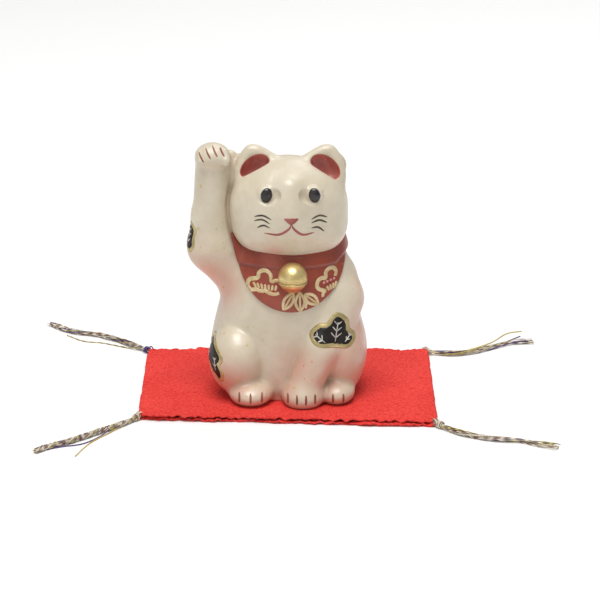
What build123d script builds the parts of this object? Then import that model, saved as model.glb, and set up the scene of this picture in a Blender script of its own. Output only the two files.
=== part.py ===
"""Beckoning cat on a small padded cloth mat with a thread tassel at each corner.

A hollow slip-cast pottery cat with its right forearm raised stands on the mat. The forearm is
cast on its own and luted on, and the bib with its bell is sprigged on in relief. The mat is two
squares of crepe sewn together round a thin wadding. Origin at the bottom centre of the mat,
+X to the cat's left, +Y towards its back, +Z up. Millimetres.
"""
import os
from math import pi, radians, tan

from build123d import *

# Mat: two cloths round a wadding, cut by hand and a little out of square
mat_width = 105.0
mat_depth = 79.0
front_left_short = 7.0
back_right_short = 2.0
mat_corner_radius = 1.5
cloth_thickness = 0.6
wadding_thickness = 1.2
hem_width = 2.4
wadding_clearance = 0.2
seam_inset = 1.0
seam_width = 0.5
seam_height = 0.4
mat_thickness = 2 * cloth_thickness + wadding_thickness

# Tassels: a knot tied round each corner of the mat, then a bundle of threads
knot_radius = 1.7
knot_reach = 0.7
bundle_diameter = 2.4
bundle_clearance = 0.3
least_corner_radius = 7.2
arc_share = 0.45

# Cat: the body is lofted through flat rings, the rest is rounded lumps that blend into it
wall = 3.0
base_thickness = 3.2
vent_diameter = 12.0
body_height = 56.0
base_half_width = 21.5
base_half_depth = 20.5
hip_height = 14.0
hip_half_width = 28.2
hip_half_depth = 25.5
waist_height = 34.0
waist_half_width = 25.2
waist_half_depth = 22.0
shoulder_height = 46.0
shoulder_half_width = 21.5
shoulder_half_depth = 18.0
neck_half_width = 18.0
neck_half_depth = 15.0
body_back_shift = 1.0

head_half = (21.6, 18.5, 18.0)
head_sink = 5.5
head_forward = 3.0
ear_spread = 13.6
ear_tip_half_width = 3.0
ear_outer_flare = 2.6
ear_inner_flare = 9.0
ear_inner_drop = 6.0
ear_rise = 4.8
ear_root_drop = 14.0
ear_tip_round = 2.8
ear_thickness = 8.0
ear_taper = 14.0

# Half sizes of the rounded lumps, then how far each is set back from the front of the hips, and up
right_thigh_half = (10.5, 12.5, 12.0)
right_thigh_back = 12.0
right_thigh_rise = 14.0
left_thigh_half = (10.0, 14.0, 12.0)
left_thigh_back = 16.0
left_thigh_rise = 12.5
right_foot_half = (8.0, 9.5, 5.6)
right_foot_offset = 13.0
right_foot_back = 3.5
left_foot_half = (7.0, 9.0, 5.4)
left_foot_offset = 17.5
left_foot_back = 5.0
foot_rise = 4.0
paw_down_half = (7.4, 7.6, 5.2)
paw_down_offset = 5.2
paw_down_back = 0.8
left_shoulder_half = (9.5, 12.5, 12.0)
left_shoulder_offset = 17.5
left_shoulder_forward = 5.5
left_shoulder_rise = 35.0
foreleg_top_radius = 7.5
foreleg_top_forward = 11.5
foreleg_top_rise = 32.0
foreleg_end_radius = 5.2
foreleg_end_back = 2.0
foreleg_end_rise = 5.0
tail_half = (5.2, 4.6, 8.5)
tail_offset = 8.0
tail_rise = 11.0
tail_sink = 1.0

# Raised forearm of the cat, on the -X side
arm_offset = 27.0
elbow_height = 54.0
elbow_radius = 9.2
wrist_height = 82.0
wrist_radius = 6.3
arm_forward = 2.0
upper_arm_radius = 8.8
upper_arm_reach = 11.5
upper_arm_drop = 12.0
paw_half = (6.6, 7.6, 5.4)
paw_forward = 3.0
paw_rise = 4.2

# Collar and bib in relief, and the bell on them
relief = 1.0
collar_middle = 55.2
collar_width = 6.4
collar_tilt = 10.0
bib_radius = 19.4
bib_centre_height = 53.1
bib_offset = 1.6
bell_radius = 5.2
bell_height = 46.3
bell_proud = 1.8
bell_groove_width = 0.7
bell_groove_depth = 0.5

base = mat_thickness
head_centre = (0.0, body_back_shift - head_forward, base + body_height - head_sink + head_half[2])
arm_y = body_back_shift - arm_forward
elbow = (-arm_offset, arm_y, base + elbow_height)
wrist = (-arm_offset, arm_y, base + wrist_height)
upper_arm = (elbow[0] + upper_arm_reach, arm_y, elbow[2] - upper_arm_drop)
paw_centre = (wrist[0], wrist[1] - paw_forward, wrist[2] + paw_rise)


def ellipsoid(centre, half):
    ball = scale(Sphere(1.0, mode=Mode.PRIVATE), by=tuple(half), mode=Mode.PRIVATE)
    return Pos(*centre) * ball


def limb(start, end, start_radius, end_radius):
    """A tapered limb with a ball at each end."""
    run = Vector(*end) - Vector(*start)
    along = Plane(origin=Vector(*start) + run * 0.5, z_dir=run)
    taper = along * Cone(start_radius, end_radius, run.length, mode=Mode.PRIVATE)
    first = Pos(*start) * Sphere(start_radius, mode=Mode.PRIVATE)
    last = Pos(*end) * Sphere(end_radius, mode=Mode.PRIVATE)
    return taper + first + last


def trunk(inset, lowest):
    """The lofted body and the head, grown or shrunk by the inset."""
    rings = [
        (lowest, base_half_width, base_half_depth),
        (hip_height, hip_half_width, hip_half_depth),
        (waist_height, waist_half_width, waist_half_depth),
        (shoulder_height, shoulder_half_width, shoulder_half_depth),
        (body_height, neck_half_width, neck_half_depth),
    ]
    with BuildPart(mode=Mode.PRIVATE) as body:
        for height, half_width, half_depth in rings:
            with BuildSketch(Plane((0, body_back_shift, base + height))):
                Ellipse(half_width - inset, half_depth - inset)
        loft()
    head = ellipsoid(head_centre, [half - inset for half in head_half])
    return body.part + head


def haunches(grow):
    """Thighs, feet, left shoulder, left foreleg and tail, grown by the given amount."""
    hip = hip_half_width
    back_y = body_back_shift + hip_half_depth
    front_y = body_back_shift - hip_half_depth
    right_thigh = (right_thigh_half[0] - hip, front_y + right_thigh_back, base + right_thigh_rise)
    left_thigh = (hip - left_thigh_half[0], front_y + left_thigh_back, base + left_thigh_rise)
    right_foot = (-right_foot_offset, front_y + right_foot_back, base + foot_rise)
    left_foot = (left_foot_offset, front_y + left_foot_back, base + foot_rise)
    paw_down = (paw_down_offset, front_y + paw_down_back, base + foot_rise)
    shoulder_y = body_back_shift - left_shoulder_forward
    shoulder = (left_shoulder_offset, shoulder_y, base + left_shoulder_rise)
    tail = (tail_offset, back_y - tail_sink, base + tail_rise)
    foreleg_top = (left_shoulder_offset, body_back_shift - foreleg_top_forward, base + foreleg_top_rise)
    foreleg_end = (paw_down_offset, front_y + foreleg_end_back, base + foreleg_end_rise)
    lumps = [
        (right_thigh, right_thigh_half),
        (left_thigh, left_thigh_half),
        (right_foot, right_foot_half),
        (left_foot, left_foot_half),
        (paw_down, paw_down_half),
        (shoulder, left_shoulder_half),
        (tail, tail_half),
    ]
    shape = limb(foreleg_top, foreleg_end, foreleg_top_radius + grow, foreleg_end_radius + grow)
    for centre, half in lumps:
        shape += ellipsoid(centre, [size + grow for size in half])
    return shape


def above_base(shape):
    """What of a shape is above the cat's flat base."""
    slab = Box(200, 200, 200, align=(Align.CENTER, Align.CENTER, Align.MIN), mode=Mode.PRIVATE)
    return shape & (Pos(0, 0, base) * slab)


figure = above_base(trunk(0.0, 0.0) + haunches(0.0))
grown_figure = above_base(trunk(-relief, 0.0) + haunches(relief))

# Cat's body and head, hollow, with a vent in the base
with BuildPart() as cat_body:
    add(figure)
    for side in (-1, 1):
        tip = head_centre[2] + head_half[2] + ear_rise
        inner = ear_spread - ear_tip_half_width
        outer = ear_spread + ear_tip_half_width
        with BuildSketch(Plane.XZ.offset(-head_centre[1])) as ear:
            with BuildLine():
                Polyline(
                    (side * (inner - ear_inner_flare), tip - ear_root_drop),
                    (side * (inner - ear_inner_flare), tip - ear_inner_drop),
                    (side * inner, tip),
                    (side * outer, tip),
                    (side * (outer + ear_outer_flare), tip - ear_root_drop),
                    close=True,
                )
            make_face()
            fillet(ear.vertices().group_by(Axis.Y)[-1], radius=ear_tip_round)
        extrude(amount=ear_thickness / 2, both=True, taper=ear_taper)
    add(trunk(wall, base_thickness), mode=Mode.SUBTRACT)
    with Locations((0, body_back_shift, base + base_thickness)):
        Cylinder(vent_diameter / 2, 4 * base_thickness, mode=Mode.SUBTRACT)
cat_body.part.label = "cat_body"

# Raised forearm and paw, luted to the shoulder and to the side of the head
arm_form = (
    limb(elbow, wrist, elbow_radius, wrist_radius)
    + limb(upper_arm, elbow, upper_arm_radius, elbow_radius)
    + ellipsoid(paw_centre, paw_half)
)
with BuildPart() as raised_arm:
    add(arm_form)
    add(figure, mode=Mode.SUBTRACT)
    add(cat_body.part, mode=Mode.SUBTRACT)
raised_arm.part.label = "raised_arm"

# Collar band round the neck with the bib below it, raised from the chest
with BuildPart() as collar_bib:
    band_plane = Plane((0, body_back_shift, base + collar_middle)).rotated((collar_tilt, 0, 0))
    with BuildSketch(band_plane):
        Ellipse(2 * neck_half_width, 2 * neck_half_depth)
    extrude(amount=collar_width / 2, both=True)
    with BuildSketch(Plane.XZ.offset(-body_back_shift)):
        with BuildLine():
            left = (bib_offset - bib_radius, base + bib_centre_height)
            right = (bib_offset + bib_radius, base + bib_centre_height)
            bottom = (bib_offset, base + bib_centre_height - bib_radius)
            ThreePointArc(left, bottom, right)
            Line(left, right)
        make_face()
    extrude(amount=2 * hip_half_depth)
    add(grown_figure, mode=Mode.INTERSECT)
    add(figure, mode=Mode.SUBTRACT)
    add(arm_form, mode=Mode.SUBTRACT)
collar_bib.part.label = "collar_bib"

# Bell sprigged on the bib, turned with a groove round its middle
chest = figure + collar_bib.part
probe = Pos(bib_offset, 0, base + bell_height) * Box(1, 4 * hip_half_depth, 1, mode=Mode.PRIVATE)
chest_front = (chest & probe).bounding_box().min.Y
bell_centre = (bib_offset, chest_front - bell_proud, base + bell_height)
bell_plane = Plane(origin=bell_centre, x_dir=(1, 0, 0), z_dir=(0, -1, 0))
with BuildPart() as bell:
    with BuildSketch(bell_plane):
        Circle(bell_radius)
        with Locations((bell_radius, 0)):
            Rectangle(2 * bell_groove_depth, bell_groove_width, mode=Mode.SUBTRACT)
        with Locations((-bell_radius, 0)):
            Rectangle(2 * bell_radius, 2 * bell_radius, mode=Mode.SUBTRACT)
    revolve(axis=Axis(bell_centre, (0, 0, 1)))
    add(chest, mode=Mode.SUBTRACT)
bell.part.label = "bell"

# Mat: outline of the cloths, the wadding inside the hems, and the seam thread in the hems
corners = [
    (-mat_width / 2, front_left_short - mat_depth / 2),
    (mat_width / 2, -mat_depth / 2),
    (mat_width / 2, mat_depth / 2 - back_right_short),
    (-mat_width / 2, mat_depth / 2),
]
with BuildSketch() as mat_outline:
    with BuildLine():
        Polyline(*corners, close=True)
    make_face()
    fillet(mat_outline.vertices(), radius=mat_corner_radius)


def inner_outline(inset):
    """The mat's outline brought in by the inset on every side."""
    return offset(mat_outline.sketch, amount=-inset, kind=Kind.INTERSECTION, mode=Mode.PRIVATE)


middle = mat_thickness / 2
seam_ring = inner_outline(seam_inset) - inner_outline(seam_inset + seam_width)
with BuildPart() as seam_thread:
    with BuildSketch(Plane.XY.offset(middle - seam_height / 2)):
        add(seam_ring)
    extrude(amount=seam_height)
seam_thread.part.label = "seam_thread"

with BuildPart() as mat_wadding:
    with BuildSketch(Plane.XY.offset(cloth_thickness)):
        add(inner_outline(hem_width + wadding_clearance))
    extrude(amount=wadding_thickness)
mat_wadding.part.label = "mat_wadding"

# Each cloth reaches from its face to the seam line at its hem and is flat over the wadding
with BuildPart() as mat_bottom_cloth:
    with BuildSketch():
        add(mat_outline.sketch)
    extrude(amount=middle)
    with BuildSketch(Plane.XY.offset(cloth_thickness)):
        add(inner_outline(hem_width))
    extrude(amount=middle, mode=Mode.SUBTRACT)
    add(seam_thread.part, mode=Mode.SUBTRACT)
mat_bottom_cloth.part.label = "mat_bottom_cloth"

with BuildPart() as mat_top_cloth:
    with BuildSketch(Plane.XY.offset(middle)):
        add(mat_outline.sketch)
    extrude(amount=mat_thickness - middle)
    with BuildSketch(Plane.XY.offset(middle)):
        add(inner_outline(hem_width))
    extrude(amount=wadding_thickness / 2, mode=Mode.SUBTRACT)
    add(seam_thread.part, mode=Mode.SUBTRACT)
mat_top_cloth.part.label = "mat_top_cloth"

pieces = [cat_body, raised_arm, collar_bib, bell]
pieces += [seam_thread, mat_wadding, mat_bottom_cloth, mat_top_cloth]

# Knots: each is centred a little outside its corner, and the corner sits in a notch in it
corner_names = ["front_left", "front_right", "back_right", "back_left"]
knot_centres = {}
for corner_name, (x, y) in zip(corner_names, corners):
    outward = Vector(x, y).normalized()
    centre = Vector(x, y, knot_radius) + outward * knot_reach
    knot_centres[corner_name] = centre
    with BuildPart() as knot:
        with Locations(centre):
            Sphere(knot_radius)
        with BuildSketch():
            add(mat_outline.sketch)
        extrude(amount=mat_thickness, mode=Mode.SUBTRACT)
    knot.part.label = f"knot_{corner_name}"
    pieces.append(knot)

# Thread bundles: each lies loose on the ground, from just clear of its knot out to its cut end.
# A route's points are measured from the mat's corner, so a bundle follows its corner.
tassel_routes = {
    "front_left": [
        (-6.7, -8.3), (-12.1, -12.7), (-17.5, -18.5), (-23.3, -24.1), (-28.9, -27.7), (-33.7, -32.7),
    ],
    "front_right": [
        (6.3, -7.3), (12.3, -10.9), (19.1, -13.7), (26.7, -14.5), (33.9, -18.1), (40.7, -20.9),
    ],
    "back_right": [
        (8.7, -1.5), (15.5, 0.3), (22.1, 4.9), (28.1, 10.7), (34.7, 13.9), (40.9, 14.5),
    ],
    "back_left": [
        (-8.1, 8.9), (-15.1, 15.7), (-22.1, 20.5), (-29.5, 22.7), (-35.7, 27.7), (-39.9, 33.7),
    ],
}
for corner_name, corner in zip(corner_names, corners):
    route = [Vector(*corner) + Vector(*step) for step in tassel_routes[corner_name]]
    centre = knot_centres[corner_name]
    heading = (route[0] - Vector(centre.X, centre.Y)).normalized()
    start = Vector(centre.X, centre.Y) + heading * (knot_radius + bundle_clearance)
    centre_height = bundle_diameter / 2
    points = [Vector(start.X, start.Y, centre_height)]
    points += [Vector(spot.X, spot.Y, centre_height) for spot in route]
    runs = [after - before for before, after in zip(points, points[1:])]
    radii = []
    for first, second in zip(runs, runs[1:]):
        half_turn = radians(first.get_angle(second) / 2)
        radii.append(arc_share * min(first.length, second.length) / tan(half_turn))
    with BuildPart() as bundle:
        with BuildLine() as path:
            FilletPolyline(*points, radius=radii)
        with BuildSketch(Plane(origin=points[0], z_dir=runs[0])):
            Circle(bundle_diameter / 2)
        sweep()
    length = path.wires()[0].length
    ratio = bundle.part.volume / (length * pi * bundle_diameter**2 / 4)
    print(corner_name, "tassel", round(length, 1), "mm, radii", [round(r, 1) for r in radii], round(ratio, 4))
    bundle.part.label = f"tassel_{corner_name}"
    pieces.append(bundle)

os.makedirs("parts", exist_ok=True)
for piece in pieces:
    export_step(piece.part, f"parts/{piece.part.label}.step")
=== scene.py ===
import bpy
import math
import numpy as np
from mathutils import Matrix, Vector, noise
from mathutils.bvhtree import BVHTree
from mathutils.geometry import delaunay_2d_cdt


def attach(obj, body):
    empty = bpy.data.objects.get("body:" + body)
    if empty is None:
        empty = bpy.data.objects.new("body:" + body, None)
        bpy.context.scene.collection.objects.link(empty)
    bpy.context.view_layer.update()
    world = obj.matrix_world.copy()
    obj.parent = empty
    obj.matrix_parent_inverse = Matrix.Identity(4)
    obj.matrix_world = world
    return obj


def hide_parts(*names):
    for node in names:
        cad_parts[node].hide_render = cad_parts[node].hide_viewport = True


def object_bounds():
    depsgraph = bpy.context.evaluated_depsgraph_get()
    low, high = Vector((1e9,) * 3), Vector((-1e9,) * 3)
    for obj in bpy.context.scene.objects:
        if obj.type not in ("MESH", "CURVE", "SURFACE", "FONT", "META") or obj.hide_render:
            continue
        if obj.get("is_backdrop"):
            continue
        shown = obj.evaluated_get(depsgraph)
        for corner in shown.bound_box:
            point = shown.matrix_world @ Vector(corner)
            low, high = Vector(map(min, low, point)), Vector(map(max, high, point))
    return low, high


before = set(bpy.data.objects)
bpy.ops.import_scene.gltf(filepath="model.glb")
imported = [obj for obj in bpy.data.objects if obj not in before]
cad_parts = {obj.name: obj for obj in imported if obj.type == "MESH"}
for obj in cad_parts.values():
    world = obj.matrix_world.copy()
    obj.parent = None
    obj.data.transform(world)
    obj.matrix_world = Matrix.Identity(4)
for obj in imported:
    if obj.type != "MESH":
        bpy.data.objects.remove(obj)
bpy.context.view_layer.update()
mm = 0.001


def tell(words):
    print("beckoning cat:", words)


# camera and soft lights
cameraSet = {"lookAt": (0.0045, 0.0, 0.034), "distance": 1.0, "elevation": 18.0, "lens": 166.7}
lightSet = {"top": 36.0, "front": 0.5, "back": 2.6, "sky": 0.3, "floor": (0.95, 0.945, 0.94)}


def makeCamera():
    tilt = math.radians(cameraSet["elevation"])
    aim = Vector(cameraSet["lookAt"])
    back = Vector((0, -math.cos(tilt), math.sin(tilt)))
    data = bpy.data.cameras.new("camera")
    data.lens = cameraSet["lens"]
    data.sensor_width = 36
    data.clip_start = 0.01
    camera = bpy.data.objects.new("camera", data)
    camera.location = aim + back * cameraSet["distance"]
    camera.rotation_euler = (math.pi / 2 - tilt, 0, 0)
    bpy.context.scene.collection.objects.link(camera)
    bpy.context.scene.camera = camera


def softLight(name, place, size, watts, colour=(1, 1, 1)):
    data = bpy.data.lights.new(name, "AREA")
    data.shape = "DISK"
    data.size = size
    data.energy = watts
    data.color = colour
    lamp = bpy.data.objects.new(name, data)
    lamp.location = place
    lamp.rotation_euler = (Vector((0, 0, 0.04)) - Vector(place)).to_track_quat("-Z", "Y").to_euler()
    bpy.context.scene.collection.objects.link(lamp)


def makeSky():
    world = bpy.data.worlds.new("studio")
    world.use_nodes = True
    world.node_tree.nodes["Background"].inputs["Color"].default_value = (1, 1, 1, 1)
    world.node_tree.nodes["Background"].inputs["Strength"].default_value = lightSet["sky"]
    bpy.context.scene.world = world
    bpy.context.scene.view_settings.view_transform = "Standard"


makeCamera()
softLight("topLight", (-0.15, -0.4, 2.0), 1.3, lightSet["top"])
softLight("frontLight", (-0.5, -0.9, 0.45), 0.6, lightSet["front"])
softLight("backLight", (0.3, 0.7, 0.9), 0.7, lightSet["back"])
makeSky()
tell("camera and lights are set")


# small helpers for shader nodes
def put(tree, kind, settings=None, values=None):
    node = tree.nodes.new("ShaderNode" + kind)
    for name, value in (settings or {}).items():
        setattr(node, name, value)
    for key, value in (values or {}).items():
        if isinstance(value, bpy.types.NodeSocket):
            tree.links.new(value, node.inputs[key])
        elif hasattr(value, "__len__") and len(value) == 3 and node.inputs[key].type == "RGBA":
            node.inputs[key].default_value = (*value, 1)
        else:
            node.inputs[key].default_value = value
    return node


def mixed(tree, share, first, second, how="MIX"):
    # a Mix node's colour sockets are its seventh and eighth inputs and third output
    mixSettings = {"data_type": "RGBA", "blend_type": how}
    return put(tree, "Mix", mixSettings, {0: share, 6: first, 7: second}).outputs[2]


def sums(tree, operation, first, second):
    return put(tree, "Math", {"operation": operation}, {0: first, 1: second}).outputs[0]


def ramp(tree, value, low, high):
    ends = {"Value": value, "From Min": low, "From Max": high}
    return put(tree, "MapRange", {"interpolation_type": "SMOOTHSTEP"}, ends).outputs["Result"]


def newGroup(name, inputs, outputs):
    group = bpy.data.node_groups.new(name, "ShaderNodeTree")
    for label, value in inputs.items():
        socket = group.interface.new_socket(name=label, in_out="INPUT", socket_type="NodeSocketFloat")
        socket.default_value = value
    for label in outputs:
        group.interface.new_socket(name=label, in_out="OUTPUT", socket_type="NodeSocketFloat")
    return group, group.nodes.new("NodeGroupInput"), group.nodes.new("NodeGroupOutput")


def place(tree, group, **values):
    node = tree.nodes.new("ShaderNodeGroup")
    node.node_tree = group
    for label, value in values.items():
        node.inputs[label.capitalize()].default_value = value
    return node.outputs


def makeMottling():
    # cloudy unevenness of a glaze, from 0 to 1; Size is the width of a cloud in metres
    group, given, result = newGroup("mottling", {"Size": 0.01, "Detail": 3.0}, ["Cloud"])
    where = put(group, "TexCoord").outputs["Object"]
    scale = sums(group, "DIVIDE", 1.0, given.outputs["Size"])
    cloud = put(group, "TexNoise", None, {"Vector": where, "Scale": scale, "Detail": given.outputs["Detail"]})
    group.links.new(ramp(group, cloud.outputs["Fac"], 0.33, 0.67), result.inputs["Cloud"])
    return group


def makeFlecks():
    # scattered specks; Size is the room that one takes, Amount the share of places that have one
    inputs = {"Size": 0.004, "Amount": 0.3, "Shift": 0.0, "Speck": 0.2}
    group, given, result = newGroup("flecks", inputs, ["Mask"])
    where = put(group, "TexCoord").outputs["Object"]
    moved = put(group, "VectorMath", {"operation": "ADD"}, {0: where, 1: given.outputs["Shift"]}).outputs[0]
    ragged = put(group, "TexNoise", None, {"Vector": moved, "Scale": 900.0, "Detail": 2.0}).outputs["Color"]
    bent = put(group, "VectorMath", {"operation": "MULTIPLY_ADD"}, {0: ragged, 1: (0.0012,) * 3, 2: moved})
    scale = sums(group, "DIVIDE", 1.0, given.outputs["Size"])
    cells = put(group, "TexVoronoi", None, {"Vector": bent.outputs[0], "Scale": scale})
    chance = put(group, "SeparateColor", None, {0: cells.outputs["Color"]}).outputs[0]
    chosen = sums(group, "LESS_THAN", chance, given.outputs["Amount"])
    inner = sums(group, "MULTIPLY", given.outputs["Speck"], 0.6)
    edge = put(group, "MapRange", {"interpolation_type": "SMOOTHSTEP"},
               {"Value": cells.outputs["Distance"], "From Min": inner, "From Max": given.outputs["Speck"],
                "To Min": 1.0, "To Max": 0.0}).outputs["Result"]
    group.links.new(sums(group, "MULTIPLY", chosen, edge), result.inputs["Mask"])
    return group


def makeGrain():
    # fine pebbling for a Bump node, Size in metres
    group, given, result = newGroup("fineGrain", {"Size": 0.0006, "Wander": 0.5}, ["Height"])
    where = put(group, "TexCoord").outputs["Object"]
    scale = sums(group, "DIVIDE", 1.0, given.outputs["Size"])
    pebbles = put(group, "TexVoronoi", {"feature": "SMOOTH_F1"}, {"Vector": where, "Scale": scale})
    cloud = put(group, "TexNoise", None, {"Vector": where, "Scale": scale, "Detail": 4.0})
    share = sums(group, "MULTIPLY", cloud.outputs["Fac"], given.outputs["Wander"])
    group.links.new(sums(group, "SUBTRACT", share, pebbles.outputs["Distance"]), result.inputs["Height"])
    return group


def makeTwist():
    # ply of a thread along its UV: V in millimetres along it, U once round it
    group, given, result = newGroup("threadTwist", {"Pitch": 1.1, "Plies": 2.0}, ["Height", "Shade"])
    across = put(group, "SeparateXYZ", None, {0: put(group, "TexCoord").outputs["UV"]}).outputs
    along = sums(group, "DIVIDE", across[1], given.outputs["Pitch"])
    turn = sums(group, "ADD", sums(group, "MULTIPLY", across[0], given.outputs["Plies"]), along)
    wave = sums(group, "SINE", sums(group, "MULTIPLY", turn, math.tau), 0.0)
    objectSpace = put(group, "TexCoord").outputs["Object"]
    hairs = put(group, "TexNoise", None, {"Vector": objectSpace, "Scale": 5200.0})
    height = sums(group, "ADD", wave, hairs.outputs["Fac"])
    group.links.new(height, result.inputs["Height"])
    group.links.new(ramp(group, wave, -0.1, 0.45), result.inputs["Shade"])
    return group


mottling, flecks, fineGrain, threadTwist = makeMottling(), makeFlecks(), makeGrain(), makeTwist()


def newMaterial(name, shader):
    material = bpy.data.materials.new(name)
    material.use_nodes = True
    tree = material.node_tree
    surface = tree.nodes["Principled BSDF"]
    for label, value in shader.items():
        surface.inputs[label].default_value = value
    return material, tree, surface


def bumped(tree, surface, height, strength, depth):
    bump = put(tree, "Bump", None, {"Height": height, "Strength": strength, "Distance": depth})
    tree.links.new(bump.outputs["Normal"], surface.inputs["Normal"])


def enamel(name, colour, worn, roughness, coat, metal=0.0, cloud=0.004, shine=0.5):
    # brushed-on overglaze colour: uneven in strength and gloss, with a faint brushy surface
    shader = {"Metallic": metal, "Coat Weight": coat, "Coat Roughness": 0.16, "Specular IOR Level": shine}
    material, tree, surface = newMaterial(name, shader)
    patchy = place(tree, mottling, size=cloud, detail=4.0)["Cloud"]
    tree.links.new(mixed(tree, patchy, colour, worn), surface.inputs["Base Color"])
    spread = {"Value": patchy, "To Min": roughness, "To Max": roughness + 0.16}
    tree.links.new(put(tree, "MapRange", None, spread).outputs["Result"], surface.inputs["Roughness"])
    bumped(tree, surface, place(tree, fineGrain, size=0.0009)["Height"], 0.5, 0.00004)
    return material


def thread(name, colour, grooveShadeAndSecondPly, pitch):
    shader = {"Roughness": 0.72, "Sheen Weight": 0.2, "Sheen Roughness": 0.5}
    material, tree, surface = newMaterial(name, shader)
    ply = place(tree, threadTwist, pitch=pitch, plies=1.0 if pitch > 2 else 2.0)
    faded = place(tree, mottling, size=0.005)["Cloud"]
    # painted shade in the ply grooves on the plain threads, a real second ply colour on the mixed ones
    twisted = mixed(tree, ply["Shade"], grooveShadeAndSecondPly, colour)
    paler = mixed(tree, 0.25, colour, (1, 1, 1))
    share = sums(tree, "MULTIPLY", faded, 0.35)
    tree.links.new(mixed(tree, share, twisted, paler), surface.inputs["Base Color"])
    bumped(tree, surface, ply["Height"], 0.8, 0.0001)
    return material


threadSet = {  # colours of the lit ply and of the groove between plies, which on the plain threads is a painted shade of the same colour and on the mixed ones a real second ply, and the length of one turn of them in millimetres
    "cream": ((0.84, 0.79, 0.66), (0.60, 0.52, 0.36), 1.1),
    "creamPurple": ((0.84, 0.78, 0.66), (0.05, 0.015, 0.08), 4.6),
    "creamMaroon": ((0.80, 0.72, 0.54), (0.17, 0.025, 0.03), 4.0),
    "yellow": ((0.76, 0.60, 0.16), (0.50, 0.34, 0.06), 1.2),
    "yellowOlive": ((0.62, 0.50, 0.14), (0.16, 0.10, 0.03), 3.4),
    "purple": ((0.12, 0.05, 0.30), (0.04, 0.012, 0.10), 1.1),
    "red": ((0.60, 0.03, 0.03), (0.25, 0.008, 0.01), 1.0),
}
threads = {name: thread(name + "Thread", *look) for name, look in threadSet.items()}
blackPaint = enamel("blackEnamel", (0.010, 0.009, 0.010), (0.03, 0.026, 0.026), 0.2, 0.25, shine=0.4)
patchPaint = enamel("patchBlack", (0.010, 0.008, 0.008), (0.024, 0.018, 0.016), 0.4, 0.04, shine=0.2)
goldPaint = enamel("paleGold", (0.76, 0.60, 0.35), (0.60, 0.44, 0.22), 0.36, 0.15, metal=0.25, cloud=0.002)
borderPaint = enamel("oldGold", (0.60, 0.49, 0.24), (0.42, 0.33, 0.14), 0.32, 0.2, metal=0.5, cloud=0.003)
silverPaint = enamel("silverLine", (0.70, 0.68, 0.62), (0.36, 0.34, 0.30), 0.35, 0.1, metal=0.3, cloud=0.0015)
nosePaint = enamel("noseRed", (0.29, 0.062, 0.045), (0.38, 0.11, 0.085), 0.45, 0.15)
dotPaint = enamel("blossomPink", (0.62, 0.30, 0.26), (0.52, 0.20, 0.16), 0.5, 0.1)
whiskerPaint = enamel("whiskerBrown", (0.035, 0.03, 0.02), (0.09, 0.08, 0.055), 0.5, 0.1, cloud=0.003)
toePaint = enamel("toeBrown", (0.20, 0.05, 0.03), (0.32, 0.11, 0.07), 0.45, 0.1)


# tubes of thread, and the smooth curves they follow
def throughPoints(points, step, closed=False):
    # a smooth line through the points, with samples about step apart
    p = np.array(points, float)
    if closed:
        p = np.concatenate([p[-1:], p, p[:2]])
    else:
        p = np.concatenate([2 * p[:1] - p[1:2], p, 2 * p[-1:] - p[-2:-1]])
    line = []
    for a, b, c, d in zip(p, p[1:], p[2:], p[3:]):
        count = max(2, int(np.ceil(np.linalg.norm(c - b) / step)))
        t = (np.arange(count) / count)[:, None]
        line.append(0.5 * (2 * b + (c - a) * t + (2 * a - 5 * b + 4 * c - d) * t ** 2
                           + (3 * b - a - 3 * c + d) * t ** 3))
    if not closed:
        line.append(p[-2][None])
    return np.concatenate(line)


def tube(line, radius, sides=7):
    # points, faces and UVs of a tube along the line, closed at both ends, all in millimetres
    line = np.asarray(line, float)
    run = np.gradient(line, axis=0)
    run /= np.linalg.norm(run, axis=1)[:, None]
    up = np.cross(run, np.cross([0.03, 0.02, 1.0], run))
    up /= np.linalg.norm(up, axis=1)[:, None]
    across = np.cross(run, up)
    radius = np.broadcast_to(radius, len(line))[:, None, None]
    angle = np.arange(sides) / sides * math.tau
    ring = np.cos(angle)[None, :, None] * across[:, None] + np.sin(angle)[None, :, None] * up[:, None]
    verts = (line[:, None] + radius * ring).reshape(-1, 3)
    along = np.concatenate([[0], np.cumsum(np.linalg.norm(np.diff(line, axis=0), axis=1))])
    faces, uvs = [], []
    for i in range(len(line) - 1):
        for j in range(sides):
            k = (j + 1) % sides
            faces.append([i * sides + j, i * sides + k, (i + 1) * sides + k, (i + 1) * sides + j])
            uvs.append([(j / sides, along[i]), ((j + 1) / sides, along[i]),
                        ((j + 1) / sides, along[i + 1]), (j / sides, along[i + 1])])
    for end, order in ((0, range(sides - 1, -1, -1)), (len(line) - 1, range(sides))):
        faces.append([end * sides + j for j in order])
        uvs.append([(j / sides, along[end]) for j in order])
    return verts, faces, uvs


def tubesObject(name, tubes, materials):
    # tubes are (line, radius, material index)
    verts, faces, uvs, index, base = [], [], [], [], 0
    for line, radius, which in tubes:
        v, f, uv = tube(line, radius)
        verts.append(v)
        faces += [[base + i for i in face] for face in f]
        uvs += uv
        index += [which] * len(f)
        base += len(v)
    piece = meshObject(name, np.concatenate(verts) * mm, faces)
    layer = piece.data.uv_layers.new(name="along")
    layer.data.foreach_set("uv", np.array([c for face in uvs for c in face], float).ravel())
    for material in materials:
        piece.data.materials.append(material)
    piece.data.polygons.foreach_set("material_index", index)
    return piece


def meshObject(name, verts, faces, smooth=True):
    mesh = bpy.data.meshes.new(name)
    mesh.from_pydata(np.asarray(verts).tolist(), [], [list(map(int, face)) for face in faces])
    mesh.polygons.foreach_set("use_smooth", [smooth] * len(mesh.polygons))
    mesh.update()
    piece = bpy.data.objects.new(name, mesh)
    bpy.context.scene.collection.objects.link(piece)
    return piece


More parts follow.
